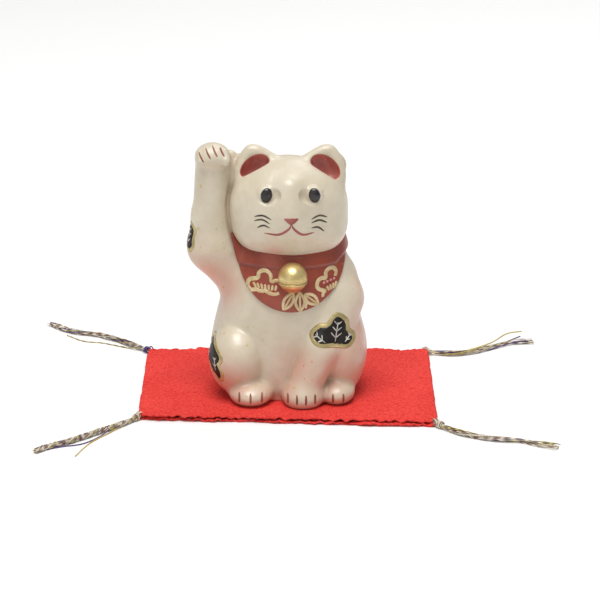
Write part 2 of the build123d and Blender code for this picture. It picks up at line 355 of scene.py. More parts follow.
# tassels: each a loose twist of threads that follows its route along the floor
matCorners = {"front_left": (-52.5, -32.5), "front_right": (52.5, -39.5),
              "back_right": (52.5, 37.5), "back_left": (-52.5, 39.5)}
tasselSet = {
    "height": 1.2,
    "diameter": 2.4,
    "threadRadius": 0.18,
    # points of each route, from the corner of the mat; the first is where the knot lets the bundle go
    "routes": {
        "front_left": [(-1.8, -2.0), (-6.7, -8.3), (-12.1, -12.7), (-17.5, -18.5), (-23.3, -24.1),
                       (-28.9, -27.7), (-33.7, -32.7)],
        "front_right": [(1.8, -2.0), (6.3, -7.3), (12.3, -10.9), (19.1, -13.7), (26.7, -14.5),
                        (33.9, -18.1), (40.7, -20.9)],
        "back_right": [(2.5, 0.0), (8.7, -1.5), (15.5, 0.3), (22.1, 4.9), (28.1, 10.7),
                       (34.7, 13.9), (40.9, 14.5)],
        "back_left": [(-1.9, 1.9), (-8.1, 8.9), (-15.1, 15.7), (-22.1, 20.5), (-29.5, 22.7),
                      (-35.7, 27.7), (-39.9, 33.7)],
    },
    "lengths": {"front_left": 44.5, "front_right": 44.2, "back_right": 43.0, "back_left": 50.4},
    # how far the ends fan out, how many turns the bundle has, and its threads from the middle out
    "fan": {"front_left": 0.3, "front_right": 1.1, "back_right": 1.2, "back_left": 0.9},
    "turns": {"front_left": 5.2, "front_right": 1.4, "back_right": 1.2, "back_left": 2.4},
    "mix": {
        "front_left": ["creamMaroon", "yellowOlive", "creamMaroon", "cream", "creamPurple"],
        "front_right": ["creamMaroon", "creamPurple", "cream", "yellowOlive", "creamMaroon"],
        "back_right": ["creamMaroon", "yellowOlive", "creamPurple", "cream", "yellow", "purple"],
        "back_left": ["creamPurple", "yellowOlive", "creamMaroon", "cream", "purple", "creamMaroon"],
    },
    "count": 15,
}


def routeLine(name, points):
    # the smooth line of a route, read back from a NURBS spline with no thickness
    curve = bpy.data.curves.new(name, "CURVE")
    curve.dimensions = "3D"
    curve.resolution_u = 24
    spline = curve.splines.new("NURBS")
    spline.points.add(len(points) - 1)
    for point, (x, y) in zip(spline.points, points):
        point.co = (x * mm, y * mm, tasselSet["height"] * mm, 1)
    spline.order_u = 3
    spline.use_endpoint_u = True
    holder = bpy.data.objects.new(name, curve)
    mesh = bpy.data.meshes.new_from_object(holder)
    line = np.array([tuple(v.co) for v in mesh.vertices])
    bpy.data.objects.remove(holder)
    return line


def tasselStrands(corner, line, random):
    along = np.concatenate([[0], np.cumsum(np.linalg.norm(np.diff(line, axis=0), axis=1))])
    whole = along[-1]
    fan, mix = tasselSet["fan"][corner], tasselSet["mix"][corner]
    strands = []
    for n in range(tasselSet["count"]):
        ring = 0.0 if n == 0 else (0.42 if n < 6 else 0.84)
        angle = n * 2.4 + random.uniform(-0.2, 0.2)
        end = whole if n % 2 == 0 else whole - random.uniform(0.2, 2.4)
        spots = np.linspace(0, end, 90)
        share = spots / whole
        gathered = 0.62 + 0.38 * np.clip(spots / 7, 0, 1)
        wander = fan * random.uniform(-1.5, 1.5) * (np.clip(share - 0.45, 0, 1) / 0.55) ** 1.4
        ripple = np.sin(share * random.uniform(6, 11) + random.uniform(0, 6))
        sway = fan * 0.35 * ripple * np.clip(share * 2, 0, 1)
        middle = np.stack([np.interp(spots, along, line[:, i]) for i in range(3)], 1)
        run = np.gradient(middle, axis=0)
        run /= np.linalg.norm(run, axis=1)[:, None]
        side = np.cross(run, [0, 0, 1.0])
        turn = angle + share * tasselSet["turns"][corner] * math.tau
        out = ring * gathered * np.cos(turn) + wander + sway
        lift = ring * gathered * np.sin(turn)
        points = middle + side * out[:, None]
        # slack threads sink towards the loose end, no lower than the floor
        sink = 0.7 * fan * np.clip(share - 0.15, 0, 1)
        points[:, 2] = np.maximum(middle[:, 2] + lift * (1 - 0.4 * fan * share) - sink, 0.23)
        strands.append((points, tasselSet["threadRadius"], list(threads).index(mix[n % len(mix)])))
    return strands


def knotTubes(corner, line, random):
    # a few turns of thread bound round the corner of the mat and the start of the bundle
    kind = knotSet[corner]
    x, y = matCorners[corner]
    outward = np.array([x, y]) / math.hypot(x, y)
    middle = np.array([x, y]) + outward * 0.7
    heading = line[6, :2] - middle
    heading = heading / np.linalg.norm(heading)
    side = np.array([-heading[1], heading[0]])
    tubes = []
    spots = np.arange(0, kind["wraps"] * math.tau, 0.28)
    share = spots / spots[-1]
    girth = kind["girth"] * (1 + 0.12 * np.sin(share * math.pi) + 0.04 * np.sin(spots * 0.37))
    reach = (share - 0.42) * kind["length"]
    flat = middle + heading * reach[:, None] + side * (girth * np.cos(spots))[:, None]
    height = 1.35 + girth * 0.95 * np.sin(spots)
    tubes.append((np.column_stack([flat, np.maximum(height, 0.3)]), 0.26, kind["colour"]))
    for n in range(kind["core"]):
        angle = n * 2.4
        ring = 0.2 + 0.5 * (n / kind["core"]) ** 0.5
        t = np.linspace(-0.5, 0.62, 9)
        swell = ring * (1.05 - 0.5 * t ** 2)
        flat = middle + heading * (t * (kind["length"] + 2.0))[:, None]
        flat = flat + side * (swell * math.cos(angle))[:, None]
        height = 1.3 - 0.15 * (t > 0) * t + swell * 0.8 * math.sin(angle)
        innerColour = kind["inner"][n % len(kind["inner"])]
        tubes.append((np.column_stack([flat, np.maximum(height, 0.3)]), 0.21, innerColour))
    # a stitch over the edge of the cloths that holds the knot to its corner
    for shift in (-0.7, 0.6):
        around = np.linspace(-0.35, 1.35, 16) * math.pi
        flat = middle - heading * (1.5 + 1.3 * np.cos(around)[:, None]) + side * shift
        height = 1.35 + 1.45 * np.sin(around)
        tubes.append((np.column_stack([flat, np.maximum(height, 0.2)]), 0.24, kind["colour"]))
    return tubes


order = list(threads)
knotSet = {
    "front_left": {"wraps": 3, "girth": 0.95, "length": 2.2, "core": 7, "colour": order.index("creamMaroon"),
                   "inner": [order.index("cream"), order.index("yellow")]},
    "front_right": {"wraps": 5, "girth": 1.05, "length": 4.0, "core": 7, "colour": order.index("creamMaroon"),
                    "inner": [order.index("cream"), order.index("creamPurple")]},
    "back_right": {"wraps": 3, "girth": 0.85, "length": 2.0, "core": 7, "colour": order.index("cream"),
                   "inner": [order.index("yellow"), order.index("cream")]},
    "back_left": {"wraps": 3, "girth": 0.95, "length": 2.2, "core": 7, "colour": order.index("purple"),
                  "inner": [order.index("creamMaroon"), order.index("cream")]},
}
straySet = {  # loose single threads: corner, colour, points on the floor
    "strayFrontLeftYellow": ("front_left", "yellow", [(-57, -38), (-62, -46), (-68, -56), (-72, -68)]),
    "strayFrontLeftPurple": ("front_left", "purple", [(-62, -46), (-70, -56), (-77, -59), (-83, -62)]),
    "strayBackRightYellow": ("back_right", "yellow", [(57, 38), (67, 42), (77, 51), (84, 62), (90, 65)]),
    "strayBackRightPurple": ("back_right", "purple", [(58, 38), (69, 41), (79, 48), (89, 59)]),
    "strayBackLeftOlive": ("back_left", "yellowOlive",
                           [(-56, 42), (-64, 47), (-71, 51), (-78, 53), (-85, 60)]),
}


def makeTassels():
    random = np.random.default_rng(8)
    for corner, route in tasselSet["routes"].items():
        path = routeLine("route_" + corner, [np.add(matCorners[corner], step) for step in route])
        line = path / mm
        strandTubes = tasselStrands(corner, line, random)
        tassel = tubesObject("tassel_threads_" + corner, strandTubes, threads.values())
        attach(tassel, "tassel_" + corner)
        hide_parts("tassel_" + corner)
        knot = tubesObject("wrapped_knot_" + corner, knotTubes(corner, line, random), threads.values())
        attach(knot, "mat")
        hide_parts("knot_" + corner)
        for name, (where, colour, points) in straySet.items():
            if where != corner:
                continue
            flat = throughPoints(points, 0.6)
            height = 0.24 + 1.3 * np.exp(-np.arange(len(flat)) / 4)
            stray = tubesObject(name, [(np.column_stack([flat, height]), 0.22, 0)], [threads[colour]])
            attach(stray, "tassel_" + corner)


makeTassels()
tell("tassels follow their routes")


# mat: two crepe squares turned in at the edges, round a thin wadding
clothSet = {
    "radius": 1.5,
    "perSide": 120,
    "perCorner": 6,
    "thick": 0.22,
    "puckerOut": 0.5,
    "puckerUp": 0.75,
    "wave": 1.1,
    # height of each cloth going in from its turned edge: distance in from the mat's outline, height
    "top": [(2.6, 1.7), (1.4, 1.68), (0.5, 1.68), (0.12, 1.76), (0.0, 1.9), (0.12, 2.08), (0.5, 2.22),
            (1.1, 2.24), (1.8, 2.14), (2.3, 1.98), (2.8, 2.08), (3.6, 2.2), (5.0, 2.26)],
    "bottom": [(2.6, 0.88), (1.4, 0.9), (0.5, 0.9), (-0.02, 0.86), (-0.3, 0.78), (-0.25, 0.52), (0.2, 0.3),
               (0.8, 0.18), (1.8, 0.14), (2.8, 0.13), (3.6, 0.13), (5.0, 0.13)],
}


def quadRing(inset, radius):
    # points of the mat's outline brought in by inset, the same count whatever the inset
    corners = [np.array(p, float) for p in matCorners.values()]
    ring = []
    for n, here in enumerate(corners):
        before, after = corners[n - 1], corners[(n + 1) % 4]
        come = (here - before) / np.linalg.norm(here - before)
        go = (after - here) / np.linalg.norm(after - here)
        first, second = np.array([-come[1], come[0]]), np.array([-go[1], go[0]])
        bend = max(radius - inset, 0.3)
        centre = here + (first + second) * (inset + bend) / (1 + first @ second)
        start = math.atan2(-first[1], -first[0])
        sweep = (math.atan2(-second[1], -second[0]) - start) % math.tau
        for k in range(clothSet["perCorner"]):
            angle = start + sweep * k / (clothSet["perCorner"] - 1)
            ring.append(centre + bend * np.array([math.cos(angle), math.sin(angle)]))
    corner = clothSet["perCorner"]
    full = []
    for n in range(4):
        full += ring[n * corner:(n + 1) * corner]
        last, following = ring[(n + 1) * corner - 1], ring[((n + 1) * corner) % len(ring)]
        for k in range(1, clothSet["perSide"]):
            full.append(last + (following - last) * k / clothSet["perSide"])
    return np.array(full)


def clothMesh(name, profile, layer, level):
    rows = []
    edge = quadRing(0.0, clothSet["radius"])
    run = np.roll(edge, -1, 0) - np.roll(edge, 1, 0)
    outward = np.stack([run[:, 1], -run[:, 0]], 1) / np.linalg.norm(run, axis=1)[:, None]
    travel = np.concatenate([[0], np.cumsum(np.linalg.norm(np.diff(edge, axis=0), axis=1))])
    gathered = 0.3 + 0.9 * np.abs(outward[:, 1])  # the front and back edges are drawn up most
    for inset, height in profile:
        ring = quadRing(inset, clothSet["radius"])
        fade = math.exp(-inset / 3.2) * gathered
        gather = np.array([noise.noise((t * 0.42, inset * 0.25, layer)) for t in travel])
        slow = np.array([noise.noise((t * 0.11, layer * 3.1, 0.5)) for t in travel])
        fine = np.array([noise.noise((t * 1.5, inset * 0.4, layer + 7)) for t in travel])
        out = clothSet["puckerOut"] * fade * (gather + 0.5 * fine) + clothSet["wave"] * fade * slow
        up = clothSet["puckerUp"] * fade * (np.roll(gather, 2) + 0.5 * fine)
        z = height + up + 0.25 * fade * slow
        rows.append(np.column_stack([ring + outward * out[:, None], z]))
    last = profile[-1][0]
    rim = quadRing(last, clothSet["radius"])
    centre = rim.mean(0)
    for share in np.linspace(0.965, 0.02, 44):
        ring = centre + (rim - centre) * share
        z = np.array([level + 0.16 * noise.noise((p[0] * 0.09, p[1] * 0.09, layer))
                      + 0.07 * noise.noise((p[0] * 0.3, p[1] * 0.3, layer + 3)) for p in ring])
        rows.append(np.column_stack([ring, z]))
    count = len(edge)
    verts = np.concatenate(rows)
    verts[:, 2] = np.clip(verts[:, 2], 0.13, 2.6)
    under = (np.abs(verts[:, 0] - 0.5) < 31) & (np.abs(verts[:, 1]) < 31) & (verts[:, 2] > 1.4)
    verts[under, 2] = np.minimum(verts[under, 2], 2.27)
    faces = []
    for i in range(len(rows) - 1):
        for j in range(count):
            k = (j + 1) % count
            faces.append([i * count + j, i * count + k, (i + 1) * count + k, (i + 1) * count + j])
    faces.append([(len(rows) - 1) * count + j for j in range(count)])
    if layer > 1.5:
        faces = [face[::-1] for face in faces]
    cloth = meshObject(name, verts * mm, faces)
    thick = cloth.modifiers.new("thickness", "SOLIDIFY")
    thick.thickness = clothSet["thick"] * mm
    thick.offset = 0.0
    return cloth


def crepe():
    # twisted-yarn crepe: pebbled all over, painted lighter on the pebble tops as painted highlight and darker
    # between them as painted shade
    shader = {"Roughness": 0.75, "Specular IOR Level": 0.15, "Sheen Weight": 0.08, "Sheen Roughness": 0.5}
    material, tree, surface = newMaterial("redCrepe", shader)
    surface.inputs["Sheen Tint"].default_value = (1.0, 0.35, 0.3, 1)
    pebble = place(tree, fineGrain, size=0.00072, wander=0.9)["Height"]
    ripple = place(tree, mottling, size=0.0014, detail=2.0)["Cloud"]
    faded = place(tree, mottling, size=0.02)["Cloud"]
    # painted highlight on the pebble tops, painted shade between them
    lit = ramp(tree, pebble, -0.5, 0.4)
    pebbleShadedRed = mixed(tree, faded, (0.61, 0.022, 0.018), (0.56, 0.018, 0.015))
    pebbleLitRed = mixed(tree, faded, (0.83, 0.070, 0.056), (0.78, 0.058, 0.046))
    tree.links.new(mixed(tree, lit, pebbleShadedRed, pebbleLitRed), surface.inputs["Base Color"])
    bumped(tree, surface, sums(tree, "ADD", pebble, sums(tree, "MULTIPLY", ripple, 0.35)), 0.6, 0.00022)
    return material


def waddingFelt():
    shader = {"Roughness": 0.9, "Sheen Weight": 0.3, "Sheen Roughness": 0.6}
    material, tree, surface = newMaterial("cottonWadding", shader)
    matted = place(tree, mottling, size=0.002, detail=6.0)["Cloud"]
    tree.links.new(mixed(tree, matted, (0.72, 0.68, 0.58), (0.88, 0.86, 0.8)), surface.inputs["Base Color"])
    bumped(tree, surface, matted, 0.7, 0.0004)
    return material


def makeWadding():
    rows = []
    for inset, height in ((3.2, 1.25), (3.35, 1.12), (3.9, 0.98), (6.0, 0.92),
                          (14.0, 0.9), (30.0, 0.9), (37.0, 0.9),
                          (37.0, 1.5), (30.0, 1.5), (14.0, 1.5), (6.0, 1.5), (3.9, 1.46), (3.35, 1.38)):
        ring = quadRing(inset, clothSet["radius"])
        rough = np.array([0.05 * noise.noise((p[0] * 0.5, p[1] * 0.5, height)) for p in ring])
        rows.append(np.column_stack([ring, height + rough]))
    count = len(rows[0])
    faces = []
    for i in range(len(rows)):
        if i == 6:
            continue
        after = (i + 1) % len(rows)
        for j in range(count):
            k = (j + 1) % count
            faces.append([i * count + k, i * count + j, after * count + j, after * count + k])
    faces.append([6 * count + j for j in range(count)][::-1])
    faces.append([7 * count + j for j in range(count)])
    return meshObject("matWadding", np.concatenate(rows) * mm, faces)


def makeSeam():
    # small running stitches that close the two turned edges
    edge = quadRing(1.5, clothSet["radius"])
    stitches = []
    travel, drawn = 0.0, -9.0
    for here, there in zip(edge, np.roll(edge, -1, 0)):
        step = there - here
        size = np.linalg.norm(step)
        travel += size
        if travel - drawn < 2.6 or size < 0.2:
            continue
        drawn = travel
        run = step / size
        across = np.array([-run[1], run[0]])
        sway = np.linspace(-0.9, 0.9, 7)
        flat = here + run * sway[:, None] - across * (1.1 * np.cos(sway * 1.7))[:, None]
        stitches.append((np.column_stack([flat, 1.3 + 0.12 * np.sin(sway * 3)]), 0.13, 0))
    return tubesObject("seamStitches", stitches, [threads["red"]])


def makeMat():
    crepeMaterial = crepe()
    clothRows = (("topCloth", "mat_top_cloth", 1.0, 2.27),
                 ("bottomCloth", "mat_bottom_cloth", 2.0, 0.13))
    for name, node, layer, level in clothRows:
        cloth = clothMesh(name, clothSet["top" if layer < 1.5 else "bottom"], layer, level)
        cloth.data.materials.append(crepeMaterial)
        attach(cloth, "mat")
        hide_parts(node)
    pad = makeWadding()
    pad.data.materials.append(waddingFelt())
    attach(pad, "mat")
    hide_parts("mat_wadding")
    seam = makeSeam()
    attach(seam, "mat")
    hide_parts("seam_thread")


makeMat()
tell("mat is sewn")


# sculpting by blended distance fields, in millimetres
def length(vectors):
    return np.sqrt((vectors * vectors).sum(-1))


def lump(points, centre, half):
    q = (points - np.array(centre)) / np.array(half)
    near = length(q)
    slope = length(q / np.array(half))
    return near * (near - 1) / np.maximum(slope, 1e-9)


def limb(points, start, end, startRadius, endRadius):
    start, end = np.array(start, float), np.array(end, float)
    run = end - start
    along = np.clip((points - start) @ run / (run @ run), 0, 1)
    gap = length(points - start - along[..., None] * run)
    return gap - (startRadius + (endRadius - startRadius) * along)


def blend(a, b, soft):
    mix = np.clip(0.5 + 0.5 * (b - a) / soft, 0, 1)
    return b * (1 - mix) + a * mix - soft * mix * (1 - mix)


def meet(a, b, soft):
    return -blend(-a, -b, soft)


def carve(a, b, soft):
    return meet(a, -b, soft)


def smoothTable(rows, blur):
    rows = np.array(rows, float)
    heights = np.arange(rows[0, 0] - 10, rows[-1, 0] + 10, 0.25)
    kernel = np.exp(-0.5 * (np.arange(-40, 41) * 0.25 / blur) ** 2)
    kernel /= kernel.sum()
    columns = []
    for column in rows.T[1:]:
        padded = np.pad(np.interp(heights, rows[:, 0], column), 40, mode="edge")
        columns.append(np.convolve(padded, kernel, "valid"))
    return heights, columns


def meshFromField(name, shape, low, high, step, polish=2):
    low, high = np.array(low, float), np.array(high, float)
    coarse = 4
    counts = (np.ceil((high - low) / (step * coarse)).astype(int)) * coarse
    axes = [low[i] + step * np.arange(counts[i]) for i in range(3)]
    middles = [a.reshape(-1, coarse).mean(1) for a in axes]
    grid = np.stack(np.meshgrid(*middles, indexing="ij"), -1)
    rough = shape(grid.reshape(-1, 3)).reshape(grid.shape[:3])
    field = rough
    for axis in range(3):
        field = np.repeat(field, coarse, axis)
    near = np.abs(field) < step * coarse * 1.6
    where = np.argwhere(near)
    field[near] = shape(low + where * step)
    inside = field < 0
    corners = np.array([(i, j, k) for i in (0, 1) for j in (0, 1) for k in (0, 1)])
    size = np.array(field.shape) - 1
    total = np.zeros(size, np.int8)
    for i, j, k in corners:
        total += inside[i:i + size[0], j:j + size[1], k:k + size[2]]
    active = (total > 0) & (total < 8)
    cells = np.argwhere(active)
    number = -np.ones(size, np.int64)
    number[active] = np.arange(len(cells))
    totals, hits = np.zeros((len(cells), 3)), np.zeros(len(cells))
    for a in range(8):
        for b in range(a + 1, 8):
            if np.abs(corners[a] - corners[b]).sum() != 1:
                continue
            ca, cb = cells + corners[a], cells + corners[b]
            fa, fb = field[tuple(ca.T)], field[tuple(cb.T)]
            cross = (fa < 0) != (fb < 0)
            t = np.where(cross, fa / np.where(cross, fa - fb, 1), 0)
            point = corners[a] + t[:, None] * (corners[b] - corners[a])
            totals += np.where(cross[:, None], point, 0)
            hits += cross
    verts = low + (cells + totals / hits[:, None]) * step
    faces = []
    for axis in range(3):
        u, v = (axis + 1) % 3, (axis + 2) % 3
        first = np.take(inside, range(0, field.shape[axis] - 1), axis)
        second = np.take(inside, range(1, field.shape[axis]), axis)
        edge = np.argwhere(first != second)
        edge = edge[(edge[:, u] > 0) & (edge[:, v] > 0) & (edge[:, u] < size[u]) & (edge[:, v] < size[v])]
        flip = first[tuple(edge.T)]
        quad = []
        for du, dv in ((1, 1), (0, 1), (0, 0), (1, 0)):
            cell = edge.copy()
            cell[:, u] -= du
            cell[:, v] -= dv
            quad.append(number[tuple(cell.T)])
        quad = np.stack(quad, 1)
        quad[~flip] = quad[~flip][:, ::-1]
        faces.append(quad)
    faces = np.concatenate(faces)
    verts = settle(verts, faces, shape, polish)
    return meshObject(name, verts * mm, faces)


def settle(verts, faces, shape, rounds):
    pairs = np.concatenate([faces[:, [0, 1]], faces[:, [1, 2]], faces[:, [2, 3]], faces[:, [3, 0]]])
    both = np.concatenate([pairs, pairs[:, ::-1]])
    count = np.bincount(both[:, 0], minlength=len(verts))[:, None]
    for _ in range(rounds):
        pulled = [np.bincount(both[:, 0], verts[both[:, 1], i], len(verts)) for i in range(3)]
        mean = np.stack(pulled, 1) / count
        verts = verts + 0.5 * (mean - verts)
        slope, value = gradient(verts, shape)
        verts = verts - slope * np.clip(value, -0.2, 0.2)[:, None]
    return verts


def gradient(points, shape, reach=0.05):
    value = shape(points)
    slope = np.empty_like(points)
    for i in range(3):
        step = np.zeros(3)
        step[i] = reach
        slope[:, i] = shape(points + step) - shape(points - step)
    size = length(slope)[:, None]
    return slope / np.maximum(size, 1e-9), value / np.maximum(size[:, 0] / (2 * reach), 0.3)


# the cat
bodyRows = [  # height, half width to +X, half width to -X, half depth to the front, half depth to the back
    (0.0, 21.0, 21.0, 19.0, 19.5),
    (5.0, 25.0, 25.0, 19.5, 23.5),
    (12.0, 27.4, 27.4, 19.5, 25.5),
    (20.0, 27.8, 27.8, 20.0, 25.5),
    (28.0, 26.2, 26.0, 20.5, 24.0),
    (36.0, 25.0, 24.0, 20.5, 22.0),
    (44.0, 23.5, 22.0, 19.5, 19.5),
    (50.0, 21.2, 19.8, 17.5, 18.0),
    (54.0, 20.6, 18.8, 15.2, 17.0),
    (58.0, 20.0, 18.2, 13.6, 16.0),
    (62.0, 18.2, 16.8, 12.0, 14.5),
    (70.0, 12.0, 12.0, 10.0, 12.0),
]
catSet = {
    "base": 2.4,
    "middle": 1.0,
    "head": ((0.1, -2.0, 70.9), (21.4, 18.6, 17.1)),
    "earRim": 2.0,
    "earLine": [(17.2, -3.0, 77.5), (17.2, -2.5, 83.5), (14.8, -1.5, 88.8),
                (12.2, -1.5, 89.8), (5.0, -2.5, 86.0)],
    "earScoop": ((12.4, -4.5, 84.6), (5.6, 2.8, 3.6), -38.0),
    "eye": (8.4, -17.2, 78.2),
    "step": 0.42,
}
bodyTable = smoothTable(bodyRows, 2.5)


def trunkShape(p):
    heights, (right, left, front, back) = bodyTable
    x, y, z = p[:, 0], p[:, 1], p[:, 2]
    halfX = np.where(x > 0, np.interp(z, heights, right), np.interp(z, heights, left))
    halfY = np.where(y < 0, np.interp(z, heights, front), np.interp(z, heights, back))
    near = np.sqrt((x / halfX) ** 2 + (y / halfY) ** 2)
    slope = np.sqrt((x / halfX ** 2) ** 2 + (y / halfY ** 2) ** 2)
    side = near * (near - 1) / np.maximum(slope, 1e-6)
    return np.maximum(side, z - 68)


def mirrored(p, side):
    q = p.copy()
    q[:, 0] = (p[:, 0] - catSet["middle"]) * side
    return q


def lowerShape(p):
    d = trunkShape(p)
    # haunches, then the straight foreleg
    d = blend(d, lump(p, (-17.6, -10.7, 16.0), (10.4, 13.4, 13.2)), 1.3)
    d = blend(d, lump(p, (18.6, -6.6, 17.0), (9.6, 14.5, 15.5)), 4)
    d = blend(d, limb(p, (16.4, -2.0, 43.5), (18.0, -6.4, 37.0), 8.6, 9.0), 3)
    d = blend(d, limb(p, (18.0, -6.4, 37.0), (11.7, -17.4, 22.0), 9.0, 7.2), 2)
    d = blend(d, limb(p, (11.7, -17.4, 22.0), (6.2, -21.2, 8.5), 7.2, 5.9), 1.5)
    # feet
    d = blend(d, lump(p, (-13.0, -18.2, 5.6), (7.9, 10.0, 4.6)), 2.4)
    d = blend(d, lump(p, (17.6, -16.6, 5.6), (6.5, 9.2, 4.7)), 2.4)
    d = blend(d, lump(p, (5.6, -21.0, 5.4), (7.6, 8.6, 5.3)), 2.4)
    # raised arm
    d = blend(d, limb(p, (-15.5, -2.0, 43.0), (-26.2, -2.0, 55.0), 9.2, 9.0), 4)
    d = blend(d, limb(p, (-26.2, -2.0, 55.0), (-27.0, -2.5, 66.0), 9.0, 6.7), 3)
    d = blend(d, limb(p, (-27.0, -2.5, 66.0), (-26.5, -3.0, 86.5), 6.7, 5.9), 3)
    return d


def pawShape(p):
    d = lump(p, (-26.3, -4.2, 88.8), (6.2, 6.2, 4.6))
    for n in range(5):  # the toes lie side by side along the arched top of the paw
        x = -30.6 + 2.15 * n
        top = 91.5 - 0.05 * (x + 26.0) ** 2
        d = blend(d, limb(p, (x, -6.6, top - 0.2), (x + 0.5, -8.9, top - 2.6), 1.5, 1.6), 0.9)
    return d


def earScoop(q):
    centre, half, tilt = catSet["earScoop"]
    turn = math.radians(tilt)
    x, z = q[:, 0] - centre[0], q[:, 2] - centre[2]
    along = x * math.cos(turn) + z * math.sin(turn)
    across = z * math.cos(turn) - x * math.sin(turn)
    return lump(np.column_stack([along, q[:, 1] - centre[1], across]), (0, 0, 0), half)


def headShape(p):
    m = catSet["middle"]
    head = lump(p, *catSet["head"])
    head = blend(head, lump(p, (m + 9.8, -5.5, 63.6), (10.2, 11.6, 9.4)), 4)
    head = blend(head, lump(p, (m - 10.0, -5.5, 63.6), (10.2, 11.6, 9.4)), 4)
    head = blend(head, lump(p, (m, -7.6, 61.0), (12.4, 10.4, 8.6)), 4)
    head = blend(head, lump(p, (m + 0.4, -16.6, 66.6), (8.6, 5.0, 5.0)), 3.5)
    head = blend(head, limb(p, (m, -15.4, 80.0), (m + 0.4, -18.6, 72.0), 3.0, 3.0), 4.5)
    rim, line = catSet["earRim"], throughPoints(catSet["earLine"], 2.0)
    for side in (-1, 1):
        q = mirrored(p, side)
        ear = lump(q, (12.2, 1.4, 83.8), (7.8, 3.4, 6.2))
        for start, end in zip(line, line[1:]):
            ear = blend(ear, limb(q, start, end, rim, rim), 1.3)
        head = blend(head, ear, 1.8)
        head = carve(head, earScoop(q), 0.8)
        # eye: a shallow almond socket with a low ball in it
        x, y, z = catSet["eye"]
        socket = lump(q, (x - 0.2, y - 1.8, z + 0.1), (5.0, 2.8, 3.4))
        head = carve(head, socket, 0.6)
        head = blend(head, lump(q, (x, y + 1.6, z - 0.1), (3.3, 2.35, 3.0)), 0.6)
    return head


def catShape(p):
    d = blend(lowerShape(p), pawShape(p), 1.5)
    d = blend(d, headShape(p), 1.0)
    d = blend(d, lump(p, (-20.2, 1.5, 79.0), (4.2, 5.0, 10.5)), 2)
    # curled tail against the back
    d = blend(d, limb(p, (10.0, 22.5, 7.0), (3.0, 25.0, 12.5), 4.6, 4.0), 1.5)
    return np.maximum(d, catSet["base"] - p[:, 2])


# collar with its bib, in low relief
bibSet = {"middle": 1.6, "centre": 55.5, "radius": 19.4, "bandLow": 51.3, "bandHigh": 61.5,
          "relief": 0.9, "bandRelief": 1.5}


def bibShape(p):
    x, y, z = p.T
    skin = lowerShape(p)
    disc = np.sqrt((x - bibSet["middle"]) ** 2 + (z - bibSet["centre"]) ** 2) - bibSet["radius"]
    disc = np.maximum(disc, y + 2)
    low = bibSet["bandLow"] + 0.7 * np.maximum(x - 17.0, 0)
    band = meet(low - z, z - bibSet["bandHigh"], 1.2)
    cloth = meet(skin - bibSet["relief"], disc, 0.5)
    cloth = blend(cloth, meet(skin - bibSet["bandRelief"], band, 1.1), 0.4)
    # the band stops where the raised arm grows out of the shoulder
    armEnd = -((x + 19.4) * 0.97 + (z - 58.6) * 0.24)
    cloth = meet(cloth, armEnd, 0.8)
    return np.maximum(cloth, -skin - 0.8)


bellSet = {"centre": (1.95, -20.6, 48.7), "radius": 5.15, "groove": -0.85}


def bellShape(p):
    q = p - np.array(bellSet["centre"])
    ball = length(q) - bellSet["radius"]
    out = np.sqrt(q[:, 0] ** 2 + q[:, 1] ** 2)
    up = q[:, 2] - bellSet["groove"]
    for height in (-0.5, 0.45):
        lip = np.sqrt((out - bellSet["radius"] + 0.3) ** 2 + (up - height) ** 2) - 0.36
        ball = blend(ball, lip, 0.4)
    slot = np.sqrt((out - bellSet["radius"] - 0.1) ** 2 + up ** 2) - 0.3
    ball = carve(ball, slot, 0.2)
    # foot of soft solder where the bell is stuck to the bib
    return blend(ball, lump(q, (0, 2.2, 0), (5.0, 3.6, 5.0)), 0.6)


def spread(points, spots):
    # how strongly each point is near any of the spots, from 0 to 1; a spot is (centre, reach)
    total = np.zeros(len(points))
    for centre, reach in spots:
        total += np.exp(-(length(points - np.array(centre)) / reach) ** 2)
    return np.clip(total, 0, 1)


# painted pink shade: spots under the chin, under the raised arm and low on the haunches and feet, where the
# glaze is tinted pink as shade
pinkShadeSpots = [((-4, -16, 57), 4), ((-29, -8, 47), 8.5), ((-22, -8, 42), 7), ((-26, -16, 9), 10),
              ((-18, -25, 12), 6),
              ((-3, -25, 8), 6), ((2, -24, 18), 6), ((13, -22, 12), 7),
              ((17, -18, 19), 6), ((26, -10, 24), 9),
              ((27, -8, 12), 9), ((24, -6, 40), 5)]


# where the gold dust was shaken on: arm, haunch, feet, shoulder and back
giltSpots = [((-31, -8, 62), 11), ((-22, -20, 24), 13), ((-14, -26, 9), 8),
             ((5, -27, 10), 9), ((18, -22, 9), 7),
             ((19, -14, 42), 10), ((-30, -8, 78), 7), ((0, 24, 34), 16)]


def keepMask(piece, name, values):
    layer = piece.data.attributes.new(name, "FLOAT", "POINT")
    layer.data.foreach_set("value", np.asarray(values, float))


